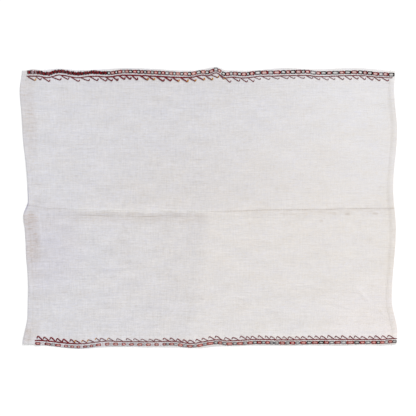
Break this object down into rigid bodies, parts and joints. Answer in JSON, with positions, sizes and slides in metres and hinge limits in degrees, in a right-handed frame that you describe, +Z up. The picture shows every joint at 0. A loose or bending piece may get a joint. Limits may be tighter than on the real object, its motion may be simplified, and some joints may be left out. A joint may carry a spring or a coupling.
{
  "type": "kilim rug",
  "caption": "Flat-woven off-white rug of two strips joined along the middle, with hemmed ends and an embroidered edging on its long sides.",
  "frame": {"origin": "under the middle of the rug, on the floor: the centre of the bounding box's bottom", "axes": "+X along the rug's length, +Y across it towards the far strip, +Z up from the floor through the embroidered face"},
  "size_m": [1.8857, 1.4056, 0.0107],
  "materials": {
    "cloth": "undyed off-white plain weave of hand-spun yarn, matt, slubbed, with faint stains at its hems",
    "embroidery_yarn": "matt embroidery yarns in brick red, charcoal green, maroon and a little ochre",
    "sewing_thread": "matt off-white sewing thread at the middle seam and the hems"
  },
  "bodies": {
    "root": {"far_strip": "cloth", "near_strip": "cloth"}
  },
  "joints": []
}
